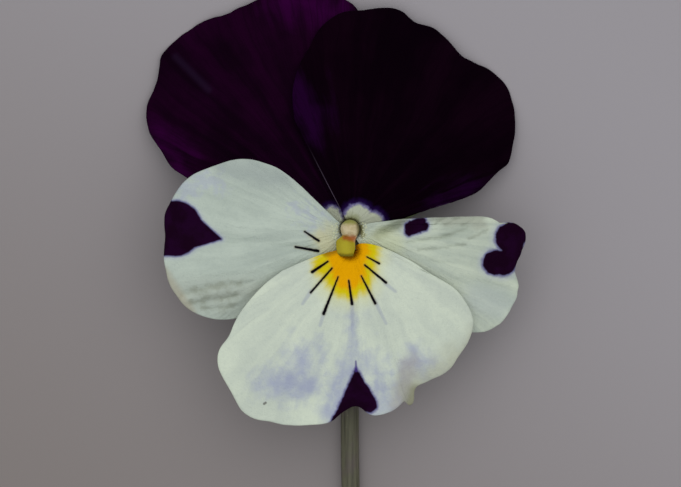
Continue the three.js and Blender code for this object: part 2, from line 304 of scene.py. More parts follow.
def settle(piece):
    """Puts the piece's place into its mesh, and shades it smooth."""
    only(piece)
    bpy.ops.object.transform_apply(location=True, rotation=True, scale=True)
    bpy.ops.object.shade_smooth()
    return piece


def gridded(name, columns, rows, place):
    """A grid laid over the surface place(u, v): u runs across it and v along it, both from 0 to 1."""
    only()
    bpy.ops.mesh.primitive_grid_add(x_subdivisions=columns, y_subdivisions=rows, size=1)
    piece = named(name)
    for corner in piece.data.vertices:
        corner.co = at(*place(corner.co.x + 0.5, corner.co.y + 0.5))
    return piece


def close_up(piece):
    """Merges the seam, drops loose edges, fills the open ends and turns all faces outwards."""
    edit(piece)
    bpy.ops.mesh.remove_doubles(threshold=SEAM)
    bpy.ops.mesh.delete_loose(use_verts=True, use_edges=True, use_faces=False)
    bpy.ops.mesh.select_all(action="SELECT")
    bpy.ops.mesh.fill_holes(sides=0)
    bpy.ops.mesh.select_all(action="SELECT")
    bpy.ops.mesh.normals_make_consistent(inside=False)
    object_mode()


def turned(name, profile, centre_y, steps):
    """A body turned round an upright axis on the middle line, from a closed loop of (radius, height)."""
    only()
    bpy.ops.mesh.primitive_circle_add(vertices=len(profile), radius=1, fill_type="NOTHING")
    piece = named(name)
    for corner, (radius, height) in zip(piece.data.vertices, profile):
        corner.co = at(radius, centre_y, height)
    edit(piece)
    bpy.ops.mesh.spin(steps=steps, angle=2 * math.pi, center=at(0, centre_y, 0), axis=(0, 0, 1))
    close_up(piece)
    return piece


def rod(name, points, radius, sides, steps):
    """A rod round a smooth line, closed at both ends. radius(share, angle) is its size there."""
    path = along(points)
    step = 0.5 / steps

    def place(u, v):
        heading = (path(v + step) - path(v - step)).normalized()
        aside = (Vector((1, 0, 0)) - heading * heading.x).normalized()
        lift = heading.cross(aside)
        turn = 2 * math.pi * u
        size = radius(v, turn)
        return path(v) + aside * (size * math.cos(turn)) + lift * (size * math.sin(turn))

    piece = gridded(name, sides, steps, place)
    close_up(piece)
    return piece


def finish_piece(piece, slot, *nodes):
    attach(piece, "root")
    if nodes:
        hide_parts(*nodes)


# ---- shader helpers

# Every node tree, in the order they are made: nodes go into the newest
TREES = []


def node(kind, inputs=(), **settings):
    """A node in the newest tree, with its settings. Inputs are values, or the sockets that feed them."""
    made = TREES[-1].nodes.new("ShaderNode" + kind)
    for key, value in settings.items():
        setattr(made, key, value)
    for key, value in dict(inputs).items():
        if isinstance(value, bpy.types.NodeSocket):
            TREES[-1].links.new(value, made.inputs[key])
        else:
            made.inputs[key].default_value = value
    return made


def maths(operation, first, second=0):
    return node("Math", {0: first, 1: second}, operation=operation).outputs[0]


def plus(first, second):
    return maths("ADD", first, second)


def times(first, second):
    return maths("MULTIPLY", first, second)


def blend(first, first_share, second, second_share):
    """The sum of two values, each times its share."""
    return plus(times(first, first_share), times(second, second_share))


def vectors(operation, inputs, output="Vector"):
    return node("VectorMath", inputs, operation=operation).outputs[output]


def fade(value, start, end, low=0, high=1):
    """Goes smoothly from low to high while the value goes from start to end."""
    inputs = {"Value": value, "From Min": start, "From Max": end, "To Min": low, "To Max": high}
    return node("MapRange", inputs, interpolation_type="SMOOTHSTEP").outputs[0]


def mixed(share, first, second, how="MIX"):
    inputs = {0: share, 6: first, 7: second}
    return node("Mix", inputs, data_type="RGBA", blend_type=how).outputs[2]


def speckle(place, scale, detail):
    inputs = {"Vector": place, "Scale": scale, "Detail": detail, "Roughness": 0.55}
    return node("TexNoise", inputs).outputs["Fac"]


def paint(red, green, blue):
    """The paint that shows as this colour in the studio's light, from parts of 255."""
    parts = []
    for part in (red, green, blue):
        part /= 255
        linear = part / 12.92 if part <= 0.04045 else ((part + 0.055) / 1.055) ** 2.4
        parts.append(min(1, linear / LIGHT))
    return (*parts, 1)


def group(name, inputs, outputs):
    tree = bpy.data.node_groups.new(name, "ShaderNodeTree")
    TREES.append(tree)
    for title, kind in inputs:
        tree.interface.new_socket(name=title, in_out="INPUT", socket_type=kind)
    for title, kind in outputs:
        tree.interface.new_socket(name=title, in_out="OUTPUT", socket_type=kind)
    return tree, tree.nodes.new("NodeGroupInput").outputs, tree.nodes.new("NodeGroupOutput").inputs


FLOAT, VECTOR = "NodeSocketFloat", "NodeSocketVector"


def make_stroke():
    """How far a place is from a tapered brush stroke, seen from above: negative inside the stroke."""
    inputs = [(title, VECTOR) for title in ("Place", "Start", "End")]
    inputs += [(title, FLOAT) for title in ("Start size", "End size")]
    tree, given, result = group("stroke", inputs, [("Distance", FLOAT)])
    flat = vectors("MULTIPLY", {0: given["Place"], 1: (1, 1, 0)})
    reach = vectors("SUBTRACT", {0: flat, 1: given["Start"]})
    run = vectors("SUBTRACT", {0: given["End"], 1: given["Start"]})
    forward = vectors("DOT_PRODUCT", {0: reach, 1: run}, "Value")
    length = vectors("DOT_PRODUCT", {0: run, 1: run}, "Value")
    share = maths("DIVIDE", forward, maths("MAXIMUM", length, 0.0001))
    share = node("Clamp", {"Value": share}).outputs[0]
    nearest = vectors("SCALE", {0: run, "Scale": share})
    away = vectors("LENGTH", {0: vectors("SUBTRACT", {0: reach, 1: nearest})}, "Value")
    inputs = {"Value": share, "To Min": given["Start size"], "To Max": given["End size"]}
    size = node("MapRange", inputs).outputs[0]
    tree.links.new(maths("SUBTRACT", away, size), result["Distance"])
    return tree


def make_ragged():
    """Shifts places unevenly, so that an edge drawn with them is ragged."""
    tree, given, result = group(
        "ragged", [("Place", VECTOR), ("Fineness", FLOAT), ("Amount", FLOAT)], [("Place", VECTOR)])
    inputs = {"Vector": given["Place"], "Scale": given["Fineness"], "Detail": 3}
    colour = node("TexNoise", inputs).outputs["Color"]
    shift = vectors("SUBTRACT", {0: colour, 1: (0.5, 0.5, 0.5)})
    shift = vectors("SCALE", {0: shift, "Scale": given["Amount"]})
    tree.links.new(vectors("ADD", {0: given["Place"], 1: shift}), result["Place"])
    return tree


def make_veins():
    """Fine veins and broad streaks that fan out from the foot, from across and along the surface."""
    tree, given, result = group(
        "veins", [("Surface", VECTOR), ("Count", FLOAT)], [("Veins", FLOAT), ("Streaks", FLOAT)])
    parts = node("SeparateXYZ", {0: given["Surface"]}).outputs
    bend = speckle(given["Surface"], 5, 2)
    across = plus(parts[0], times(bend, 0.06))
    fine = node("CombineXYZ", {0: times(across, given["Count"]), 1: times(parts[1], 3)}).outputs[0]
    broad = node("CombineXYZ", {
        0: times(across, times(given["Count"], 0.35)),
        1: times(parts[1], 1.3),
        2: 7,
    }).outputs[0]
    from_line = maths("ABSOLUTE", maths("SUBTRACT", speckle(fine, 1, 1.5), 0.5))
    tree.links.new(fade(from_line, 0, 0.045, 1, 0), result["Veins"])
    tree.links.new(speckle(broad, 1, 5), result["Streaks"])
    return tree


STROKE = make_stroke()
RAGGED = make_ragged()
VEINS = make_veins()


def call(made, inputs):
    return node("Group", inputs, node_tree=made).outputs


def strokes(place, lines):
    """The distance to the nearest of several strokes: X and Y of both ends, and the size at both ends."""
    nearest = None
    for x0, y0, x1, y1, start_size, end_size in lines:
        inputs = {"Place": place, "Start": (x0, y0, 0), "End": (x1, y1, 0)}
        inputs.update({"Start size": start_size, "End size": end_size})
        distance = call(STROKE, inputs)["Distance"]
        nearest = distance if nearest is None else maths("MINIMUM", nearest, distance)
    return nearest


class Coat:
    """A material while it is made: its colour so far, and what its patterns read."""

    def __init__(self, name, vein_count=None):
        self.material = bpy.data.materials.new(name)
        self.material.use_nodes = True
        self.material.node_tree.nodes.clear()
        TREES.append(self.material.node_tree)
        self.colour = None
        coordinates = node("TexCoord").outputs
        inputs = {"Vector": coordinates["Object"], "Scale": (1 / MM,) * 3, "Location": -THROAT / MM}
        self.place = node("Mapping", inputs).outputs[0]
        if vein_count:
            fan = call(VEINS, {"Surface": coordinates["UV"], "Count": vein_count})
            self.veins, self.streaks = fan["Veins"], fan["Streaks"]
            self.sides = self.parts(coordinates["UV"])

    def parts(self, vector):
        return node("SeparateXYZ", {0: vector}).outputs

    def specks(self, scale, detail=3):
        return speckle(self.place, scale, detail)

    def ragged(self, fineness, amount):
        inputs = {"Place": self.place, "Fineness": fineness, "Amount": amount}
        return call(RAGGED, inputs)["Place"]

    def ground(self, value, start, end, first, second):
        """Starts the colour: it goes from first to second while the value goes from start to end."""
        self.colour = mixed(fade(value, start, end), paint(*first), paint(*second))

    def lay(self, share, colour):
        """Lays a colour over the one so far: parts of 255, or the socket that gives it."""
        colour = paint(*colour) if isinstance(colour, tuple) else colour
        self.colour = mixed(share, self.colour, colour)

    def cover(self, colour, value, start, end=0, amount=1):
        """Lays a colour on, up to the amount, while the value goes from start to end."""
        self.lay(fade(value, start, end, 0, amount), colour)

    def tint(self, colour, value, amount):
        """Lays a colour on, as much as the value times the amount."""
        self.lay(times(value, amount), colour)

    def distance(self, place, lines, streaks=None, patches=None, detail=4):
        """The distance to the nearest line. Streaks (low, high) and patches (scale, low, high) add to it."""
        result = strokes(place, lines)
        if streaks:
            result = plus(result, fade(self.streaks, 0.35, 0.65, *streaks))
        if patches:
            scale, *spread = patches
            result = plus(result, fade(self.specks(scale, detail), 0.3, 0.7, *spread))
        return result

    def brush(self, colour, place, lines, start, end=0, amount=1, **unevenness):
        """Covers what lies near the lines."""
        self.cover(colour, self.distance(place, lines, **unevenness), start, end, amount)

    def dabs(self, place, *dabs):
        """Brushes one line after the other: each with its colour, start, end and amount."""
        for line, colour, *spread in dabs:
            self.brush(colour, place, [line], *spread)

    def shader(self, height, bump, roughness, **constants):
        """The principled shader, with the height as fine relief. Constants are set on its own sockets."""
        inputs = {"Height": height, "Strength": 1, "Distance": bump * MM}
        normal = node("Bump", inputs).outputs[0]
        inputs = {"Base Color": self.colour, "Roughness": roughness, "Normal": normal}
        for key, value in constants.items():
            inputs[key.replace("_", " ").title().replace("Ior", "IOR")] = value
        principled = node("BsdfPrincipled", inputs)
        output = node("OutputMaterial", {"Surface": principled.outputs[0]})
        output.is_active_output = True
        return self.material


# ---- materials of the petals

INK = (21, 1, 20)
INK_CLOUD = (27, 2, 30)
VIOLET = (66, 52, 118)
LAVENDER = (150, 156, 182)
WHISKER = (6, 3, 10)
WHISKER_EDGE = (112, 94, 60)
MOTTLE = (0.86, 0.87, 0.9, 1)


def pale_petal(name, light, shade, vein_count=46):
    """The pale ground of a petal: two near-whites in streaks, with fine veins."""
    coat = Coat(name, vein_count)
    coat.ground(blend(coat.streaks, 0.6, coat.specks(0.22), 0.4), 0.36, 0.64, shade, light)
    coat.tint(shade, coat.veins, 0.16)
    mottled = mixed(1, coat.colour, MOTTLE, "MULTIPLY")
    coat.cover(mottled, coat.specks(2.4, 4), 0.46, 0.7, 0.3)
    return coat


def pale_shader(coat):
    relief = blend(coat.streaks, 1.5, coat.specks(5), 0.45)
    roughness = fade(coat.streaks, 0.3, 0.7, 0.5, 0.66)
    return coat.shader(relief, 0.18, roughness, specular_ior_level=0.02)


def blotch(coat, place, lines, halo):
    """A near-black velvet blotch with a soft violet edge."""
    distance = strokes(place, lines)
    ink = mixed(fade(coat.specks(0.55), 0.42, 0.66), paint(*INK), paint(*INK_CLOUD))
    coat.cover(LAVENDER, distance, 2.2 * halo, amount=0.4)
    coat.cover(VIOLET, distance, halo, amount=0.8)
    coat.cover(ink, distance, 0.09, -0.06)


def whiskers(coat, lines):
    """Thin dark lines, a little ragged at their edges."""
    distance = strokes(coat.ragged(4, 0.09), lines)
    coat.cover(WHISKER_EDGE, distance, 0.2, 0.02, 0.35)
    coat.cover(WHISKER, distance, 0.07, -0.02)


def lower_petal_face():
    coat = pale_petal("lower_petal_face", (200, 209, 190), (185, 194, 180))
    soft = coat.ragged(0.5, 2.6)
    edge = coat.ragged(1.6, 0.34)

    # Lavender clouds on the left, down the middle, beside the arrowhead and on the right
    coat.brush(LAVENDER, soft, [
        (-7.4, -13.2, -4, -13.8, 0.5, 1), (-5, -10, -4.4, -13, 0.1, 0.5),
        (0.1, -7, 0.2, -11, -0.7, -0.4), (-0.4, -12, -1.6, -16, 0.2, 0.7),
        (1.8, -11.4, 3.4, -15.6, 0.3, 1.1), (2.7, -12.4, 3.5, -14, 0.6, 0.9),
        (6.2, -11, 7.4, -11.4, 0.3, 0.3), (-2.6, -10.4, -2.6, -14.6, 0, 0.4),
    ], 2.3, -1.5, 0.75, streaks=(-0.6, 0.8), patches=(0.9, -0.6, 0.7))
    deep = [(-6.3, -13.3, -4.6, -13.9, 0.1, 0.2)]
    coat.brush((138, 144, 170), soft, deep, 2, -0.8, 0.32, patches=(1.2, -0.6, 0.7))

    # The right lobe turns away from the light: painted shade along its crease, and greener painted shade
    # towards its rim and on its tooth
    coat.dabs(
        soft,
        ((5.2, -16, 5.6, -11.5, 0.5, 0.2), (150, 146, 148), 1.4, -0.3, 0.7),
        ((6.6, -14.4, 12.6, -9.8, 0.6, 0.7), (168, 170, 148), 2.2, -0.4, 0.6))
    coat.brush((134, 134, 110), edge, [(5.9, -15.8, 6.3, -14.2, 0.4, 0.2)], 0.9, -0.2, 0.9)

    # Yellow eye: lemon round orange, and brownish painted shade beside the tongue
    eye = coat.distance(edge, [(-0.2, -0.6, -0.2, -2.6, 1.6, 1.2)], (-0.16, 0.16))
    lemon = coat.distance(edge, [(-2.4, -1.9, 1.45, -2, -0.1, -0.1)], (-0.2, 0.2))
    coat.cover((206, 208, 150), eye, 3.2, 1.1, 0.6)
    coat.cover((204, 186, 16), maths("MINIMUM", lemon, eye), 1.9, 0.85)
    coat.cover((221, 158, 1), eye, 0.8, 0.05)
    coat.brush((136, 96, 16), edge, [(-2.3, -0.75, -1.5, -0.4, 0.05, 0.2)], 0.6, 0, 0.8)

    # Arrowhead at the notch
    blotch(coat, edge, [
        (0.6, -12.1, -0.5, -15.9, 0.06, 0.6), (0.6, -12.1, 1.85, -15.5, 0.06, 0.78),
        (0.6, -12.5, 0.65, -15.6, 0.12, 0.9), (-0.5, -15.9, -1.75, -17.3, 0.6, 0.12),
    ], 0.34)
    coat.brush(VIOLET, coat.place, [(0.57, -11.3, 0.6, -12.2, 0, 0.06)], 0.16, 0, 0.8)

    # Whiskers, the faint lines that some of them run out into, and a grey speck
    coat.brush((140, 146, 166), coat.place, [
        (2.4, -5.4, 3.5, -7.6, 0.08, 0.04), (0.2, -5.6, 0.25, -7.8, 0.1, 0.04),
        (-2.5, -6.5, -2.9, -7.8, 0.1, 0.04), (-3.8, -4.5, -4.6, -5.7, 0.09, 0.04),
        (3.4, -3.7, 4.4, -4.5, 0.08, 0.03),
    ], 0.22, 0, 0.4)
    whiskers(coat, [
        (1.65, -1.15, 2.85, -1.8, 0.05, 0.08), (1.45, -1.95, 3.5, -3.65, 0.07, 0.1),
        (1.1, -3, 2.45, -5.65, 0.05, 0.11), (-0.12, -3.45, 0.2, -5.7, 0.06, 0.12),
        (-1.15, -3.1, -2.55, -6.65, 0.05, 0.13), (-1.75, -2.25, -3.8, -4.6, 0.07, 0.08),
        (-2.15, -1.6, -3.65, -2.6, 0.07, 0.13),
    ])
    coat.brush((92, 90, 84), coat.place, [(-8.35, -15.45, -8.2, -15.35, 0.1, 0.09)], 0.08, -0.04, 0.8)
    return pale_shader(coat)


def left_side_petal_face():
    coat = pale_petal("left_side_petal_face", (182, 193, 180), (165, 176, 165))
    soft = coat.ragged(0.5, 2.2)
    edge = coat.ragged(1.6, 0.18)
    coat.brush((162, 168, 184), soft, [
        (-16.4, 5.6, -13, 6.4, 0.4, 0.2), (-5.2, 3.4, -3.6, 2.4, 0.1, 0.2),
    ], 1.4, -0.5, 0.5, streaks=(-0.6, 0.8), patches=(1.4, -0.8, 1))

    # Painted shade: the lower lobe, which turns down, is duller, with darker painted shade in the bands of
    # its folds
    coat.brush((160, 163, 150), soft, [(-15.6, -4.8, -8, -4.6, 0.6, 0.4)], 2, -0.6, 0.35)
    coat.brush((134, 139, 122), edge, [
        (-16.4, -4.9, -13.6, -4.1, 0.05, 0.14), (-13.6, -4.1, -10.6, -3.7, 0.14, 0),
        (-15.6, -5.6, -11.2, -4.9, 0.1, 0.04), (-14.4, -6.2, -11.6, -6, 0.05, 0),
    ], 0.7, -0.3, 0.6, patches=(1.3, -0.25, 0.45), detail=3)

    # Painted shade along the upper rim, then the warm lower left rim and the warm foot
    coat.brush((144, 153, 150), soft, [(-12, 7.6, -6.6, 6.4, 0.3, 0.3)], 1.8, -0.2, 0.6)
    coat.brush((158, 146, 120), edge, [(-18.2, -2.6, -15.6, -6.6, 0.1, 0.1)], 0.8, 0, 0.5)
    coat.brush((196, 190, 140), soft, [(-2.4, 0.6, -2, -1, 0.5, 0.5)], 1.5, 0, 0.6)
    blotch(coat, edge, [(-12.6, 0.62, -17.1, 1.62, 0.06, 2.68), (-17.1, 1.62, -18.8, 1.62, 2.68, 2.6)], 0.3)
    whiskers(coat, [(-4.4, 1.3, -3.05, 0.42, 0.06, 0.1), (-5.3, -0.18, -3.1, -0.58, 0.08, 0.12)])
    return pale_shader(coat)


def right_side_petal_face():
    coat = pale_petal("right_side_petal_face", (190, 199, 180), (170, 180, 166))
    soft = coat.ragged(0.5, 2)
    edge = coat.ragged(1.8, 0.4)

    # Painted shade: bluish on the lower lobe, which turns back, in the crease beside the stigma, and in the
    # middle and under the curled top
    coat.brush((164, 174, 176), soft, [(12.4, -5.2, 14.6, -6, 0.5, 0.5)], 2, -0.4, 0.4)
    coat.brush((126, 133, 114), edge, [(2.7, 1, 5.2, 2.35, 0.1, 0.2)], 0.7, 0, 0.85)
    coat.brush((152, 162, 148), soft, [(9.4, 1.2, 11.4, 1.4, 0.1, 0.2)], 1, -0.2, 0.6)
    coat.brush((144, 147, 133), soft, [(8.2, 2.5, 12.4, 2.4, 0.1, 0.3)], 0.9, 0, 0.6)

    # Painted shade in the wrinkles
    coat.brush((134, 140, 124), edge, [
        (8.4, 2.2, 9.3, 2.75, 0.04, 0.04), (9.3, 1.9, 10.5, 2.7, 0.04, 0.05),
        (10.9, 1.9, 12, 2.5, 0.03, 0.04), (5.6, 0.3, 9.2, 0.85, 0, 0.03),
        (9.2, 0.85, 11.4, 1.7, 0.03, 0), (6.6, -0.5, 11.2, 0.05, 0, 0.02),
        (11.6, 0.6, 13.4, 1.5, 0, 0.02),
    ], 0.34, -0.02, 0.5, streaks=(-0.06, 0.2))

    # Painted shade in an olive ring beside the stigma, and warm ground at the foot
    coat.brush((112, 106, 46), edge, [(1, 2.35, 1.2, 1, 0.05, 0.05)], 0.4, 0, 0.8)
    coat.brush((200, 206, 164), soft, [(2.2, 0, 3.6, 0.2, 0.4, 0.6)], 1.6, 0, 0.5)

    # Kidney-shaped blotch at the rim, and the island on the upper edge
    blotch(coat, edge, [
        (15.65, 0.7, 15.8, 0.8, 1.42, 1.42), (16, 0.3, 15.6, -1.4, 1, 0.95),
        (14.15, -1.7, 15, -1.75, 1.15, 1.2),
    ], 0.4)
    blotch(coat, edge, [(5.8, 1.8, 6.95, 2.3, 0.42, 0.4), (5.75, 1.3, 7.2, 1.85, 0.4, 0.42)], 0.28)
    return pale_shader(coat)


def pale_back():
    """The backs of the pale petals: greener white, with veins that stand out."""
    coat = pale_petal("pale_petal_back", (186, 192, 168), (158, 166, 140), 34)
    coat.tint((132, 142, 112), coat.veins, 0.3)
    coat.cover((158, 150, 170), coat.specks(0.3), 0.5, 0.72, 0.35)
    return pale_shader(coat)


def velvet(name, dark, warm, painted_highlight, highlight_lines, foot_lines, margin_highlight=0, glint_lines=()):
    """The dark velvet of an upper petal: near black, with wine streaks, painted highlights in places and a
    pale foot.
    """
    coat = Coat(name, 40)
    coat.ground(blend(coat.streaks, 0.55, coat.specks(0.16), 0.45), 0.4, 0.62, dark, warm)
    # Painted highlights where the velvet catches the light
    coat.brush(painted_highlight, coat.ragged(0.35, 4), highlight_lines, 2.6, -1, streaks=(1.2, -1))
    coat.tint(dark, coat.veins, 0.35)
    # A painted glint: a faint highlight along a fold of the velvet
    if glint_lines:
        coat.brush((32, 20, 40), coat.place, glint_lines, 0.6, 0, 0.45)

    # A painted highlight: a fine pale line along the margin from the foot to half way out
    margin = fade(coat.sides[0], 0.012, 0.003, 0, margin_highlight)
    coat.tint((96, 84, 100), margin, fade(coat.sides[1], 0.85, 0.3))

    edge = coat.ragged(2.2, 0.5)
    foot = strokes(edge, foot_lines)
    coat.cover((27, 9, 56), foot, 0.95, 0.2)
    coat.cover((104, 98, 138), foot, 0.4, 0.08)
    coat.cover((172, 177, 156), foot, 0.18, -0.14)
    coat.brush((126, 130, 76), edge, [(0, 2.3, 0.3, 2.4, 0.3, 0.3)], 0.7, 0, 0.6)
    return coat.shader(
        blend(coat.streaks, 1.6, coat.specks(4), 0.4), 0.14, 0.7, specular_ior_level=0.01,
        sheen_weight=0.015, sheen_roughness=0.4, sheen_tint=(0.6, 0.2, 0.7, 1))


def upper_left_face():
    return velvet(
        "upper_left_petal_face", (14, 1, 13), (27, 1, 25), (44, 1, 46),
        [(-6, 24.2, -1.6, 22.8, 0.8, 0.8), (-18.6, 10, -17, 8.6, 0.4, 0.4)],
        [(-1.75, 2.8, -1.5, 2.2, 0.85, 0.8)], glint_lines=[(-17.2, 18.6, -13.9, 15.3, 0.02, 0.02)])


def upper_right_face():
    return velvet(
        "upper_right_petal_face", (7, 0, 6), (14, 1, 11), (27, 1, 34),
        [(-5.2, 15, -3.6, 11, 0.5, 0.3), (8.5, 4, 13, 5.8, -0.4, -0.2)],
        [(0.8, 2.6, 0.85, 2.5, 1.25, 1.2), (2.2, 2.2, 2.3, 2.1, 0.95, 0.9)], margin_highlight=0.75)


def velvet_back():
    """The backs of the upper petals: duller and more violet than their faces."""
    coat = Coat("upper_petal_back", 34)
    coat.ground(coat.streaks, 0.35, 0.65, (40, 16, 52), (66, 34, 80))
    coat.tint((26, 8, 34), coat.veins, 0.5)
    coat.cover((120, 124, 100), coat.sides[1], 0.3)
    relief = blend(coat.streaks, 1, coat.specks(4), 0.35)
    return coat.shader(relief, 0.14, 0.68, specular_ior_level=0.15, sheen_weight=0.05)


# ---- materials of the other parts

def green_skin(name, light, shade, blush):
    """Green skin with lengthwise veins, pale edges and a purplish blush."""
    coat = Coat(name, 14)
    patches = coat.specks(0.5, 4)
    coat.ground(patches, 0.35, 0.65, shade, light)
    coat.tint(shade, coat.veins, 0.3)
    from_middle = maths("ABSOLUTE", maths("SUBTRACT", coat.sides[0], 0.5))
    coat.cover((150, 158, 118), from_middle, 0.42, 0.5, 0.5)
    coat.cover(blush, patches, 0.55, 0.75, 0.4)
    relief = blend(coat.streaks, 1, coat.specks(3), 0.4)
    return coat.shader(relief, 0.1, 0.5, specular_ior_level=0.35)


def stem_skin():
    """Dull olive skin with lengthwise lines, a purplish tinge and a few pale pores."""
    coat = Coat("stem_skin")
    stretch = node("Mapping", {"Vector": coat.place, "Scale": (2.4, 0.12, 2.4)}).outputs[0]
    lines = speckle(stretch, 1, 4)
    pores = node("TexVoronoi", {"Vector": coat.place, "Scale": 1.4}).outputs["Distance"]
    coat.ground(lines, 0.38, 0.62, (64, 63, 48), (88, 87, 68))
    coat.cover((84, 70, 74), coat.specks(0.35), 0.5, 0.72, 0.5)
    coat.cover((130, 130, 104), pores, 0.13, 0.05, 0.35)
    relief = blend(lines, 1, coat.specks(4), 0.3)
    return coat.shader(relief, 0.16, 0.5, specular_ior_level=0.35)


def speckled(name, scale, detail, light, shade, spread=0.15):
    """A plain skin in two shades, and its specks."""
    coat = Coat(name)
    grain = coat.specks(scale, detail)
    coat.ground(grain, 0.5 - spread, 0.5 + spread, shade, light)
    return coat, grain


def cut_face():
    """The cut end of the stem: pale wet pith."""
    coat, grain = speckled("stem_cut", 5, 3, (178, 182, 140), (150, 154, 112), 0.1)
    return coat.shader(grain, 0.1, 0.4, specular_ior_level=0.5)


def pistil_skin():
    """Cream globe, green at its top with painted shade down its side, with an orange-red lip and a
    yellow-green tongue below.
    """
    coat = speckled("pistil_skin", 1.2, 3, (192, 178, 142), (166, 150, 106))[0]
    place = coat.ragged(1.6, 0.3)

    # Green top of the globe, painted shade down its side, tongue with its lighter pad and painted shade along
    # its hem, lip
    coat.dabs(
        place,
        ((-0.5, 2.35, 0.4, 2.35, 0.12, 0.12), (132, 136, 60), 0.45, 0, 0.85),
        ((0.9, 2.1, 1, 1, 0.08, 0.08), (84, 76, 26), 0.4, 0, 0.85),
        ((-0.5, -0.1, -0.4, -0.9, 0.98, 1.1), (150, 136, 18), 0.2, -0.1),
        ((-0.5, -0.05, -0.4, -0.55, 0.3, 0.3), (164, 152, 28), 0.5, -0.2),
        ((-1.1, -1.12, 0.5, -1.12, 0.1, 0.1), (96, 90, 16), 0.3, 0, 0.85),
        ((-0.5, 0.7, 0.34, 0.64, 0.14, 0.2), (146, 74, 16), 0.3, -0.1, 0.9))
    return coat.shader(coat.specks(5), 0.08, 0.45, specular_ior_level=0.2)


def anther_skin():
    """Cream pollen sacs with orange tips, by height."""
    coat, grain = speckled("anther_skin", 4, 4, (200, 192, 140), (176, 166, 116))
    coat.cover((140, 124, 50), coat.parts(coat.place)[2], -1.7, -1.1)
    return coat.shader(grain, 0.1, 0.6, specular_ior_level=0.25)


def beard_skin():
    """Glassy white hairs."""
    coat, grain = speckled("beard_hair", 3, 2, (196, 200, 168), (188, 192, 156))
    return coat.shader(grain, 0.04, 0.7, specular_ior_level=0.05)


# ---- surfaces of the petals

def arch(x, y):
    """How far down the arch of the upper petals is at a place, as a share of its height."""
    reach = math.hypot(x + 2.5, 0.92 * (y - 2)) / 21.5
    return 1.5 * reach ** 2 - 0.5 * reach ** 4


ARCH_DROP = (LEFT_LEVEL - GROUND - 0.15) / max(arch(x, y) for x, y in UPPER_LEFT_EDGE)


def upper_waves(x, y):
    """Waves and streaks that both upper petals share, so that they stay clear of each other."""
    reach = math.hypot(x, y - AXIS_Y) / 20
    turn = math.atan2(x, y - AXIS_Y)
    waves = uneven(turn * 4.5, reach * 1.5, 3)
    streaks = uneven(turn * 22, reach * 1.2, 9)
    return reach ** 2 * (0.55 * waves + 0.14 * streaks)


def foot_rise(x, y, height):
    """The petals rise to the stigma at their feet."""
    away = (math.hypot(x, y - AXIS_Y) - FOOT_RING) / 1.1
    return height * math.exp(-(away ** 2))


SHEEN_FOLDS = [(-18.4, 18.4, -13.6, 17.2, 0.5, 0.35), (-17, 20.2, -13.5, 18.2, 0.6, -0.3)]


def upper_left_level(x, y):
    rise = foot_rise(x, y, 0.75)
    return LEFT_LEVEL - ARCH_DROP * arch(x, y) + upper_waves(x, y) + folds(x, y, SHEEN_FOLDS) + rise


def right_arch(x, y):
    """The right upper petal arches like the left one, and steps down past it towards its right."""
    return RIGHT_LEVEL - ARCH_DROP * arch(x, y) - LAYER * min(1, max(0, (x - 1.5) / 8)) ** 2


def upper_right_level(x, y):
    return right_arch(x, y) + upper_waves(x, y) + foot_rise(x, y, 0.4)


def flat_level(level, droop, tilt_right, tilt_down, x, y):
    reach = math.hypot(x, y - AXIS_Y) / FACE_SIZE
    right = max(0, x / FACE_SIZE) ** 2
    down = max(0, -y / FACE_SIZE)
    return level - droop * reach ** 2 - tilt_right * right - tilt_down * down


def fan_wrinkles(x, y, count, height, seed):
    """Fine wrinkles that fan out from the throat and grow towards the rim."""
    reach = math.hypot(x, y - AXIS_Y) / FACE_SIZE
    turn = math.atan2(y - AXIS_Y, x) if x > 0 else math.atan2(y - AXIS_Y, -x)
    return height * reach * uneven(turn * count, reach * 2, seed)


def right_fall(x, y):
    """How far the parts at the lower right turn back."""
    return 1.3 * min(1, max(0, (x - 0.5 * y - 9) / 9)) ** 2


LEFT_FOLDS = [
    (-12.6, 0.55, -3, -0.55, 0.55, -0.32), (-16.4, -4.9, -13.6, -4, 0.24, -0.24),
    (-13.6, -4, -9.6, -3.6, 0.24, -0.24), (-16, -5.2, -11, -4.4, 0.2, 0.16),
    (-15.6, -5.7, -10.6, -4.9, 0.24, -0.24), (-14.6, -6.3, -10.8, -5.9, 0.24, -0.18),
    (-15, -3.2, -9, -2.8, 0.26, -0.12), (-14, 3.2, -8, 2.4, 0.8, 0.12),
    (-12.6, 6.4, -6.6, 4.2, 0.9, 0.12),
]
RIGHT_FOLDS = [
    (2.8, 1.2, 5.6, 2.45, 0.3, -0.4), (4.4, 2.75, 8.6, 2.75, 0.26, 0.26),
    (5.4, 0.25, 9.4, 0.85, 0.2, -0.18), (9, 0.8, 11.6, 1.7, 0.2, -0.18),
    (6.4, -0.5, 11.4, 0, 0.22, -0.15), (6, 1, 10.6, 1.3, 0.3, 0.14),
    (7.4, -1.6, 12.4, -2, 0.26, -0.1), (8.5, 2.2, 9.4, 2.85, 0.16, -0.16),
    (9.4, 1.9, 10.6, 2.75, 0.16, -0.16), (11, 1.9, 12.2, 2.5, 0.2, -0.14),
    (10, -3.4, 15.4, -4.2, 0.5, -0.12),
]
LOWER_FOLDS = [
    (0.35, -6.5, 0.62, -12, 0.3, -0.14), (4.6, -9, 5.2, -15, 0.7, -0.16),
    (-3.4, -7, -7.6, -15, 1.2, 0.14), (-2, -8, -3.4, -16.6, 0.8, -0.12),
    (2.2, -6.5, 4, -13.5, 0.9, 0.16), (3, -5, 9, -8.8, 0.9, -0.12),
]


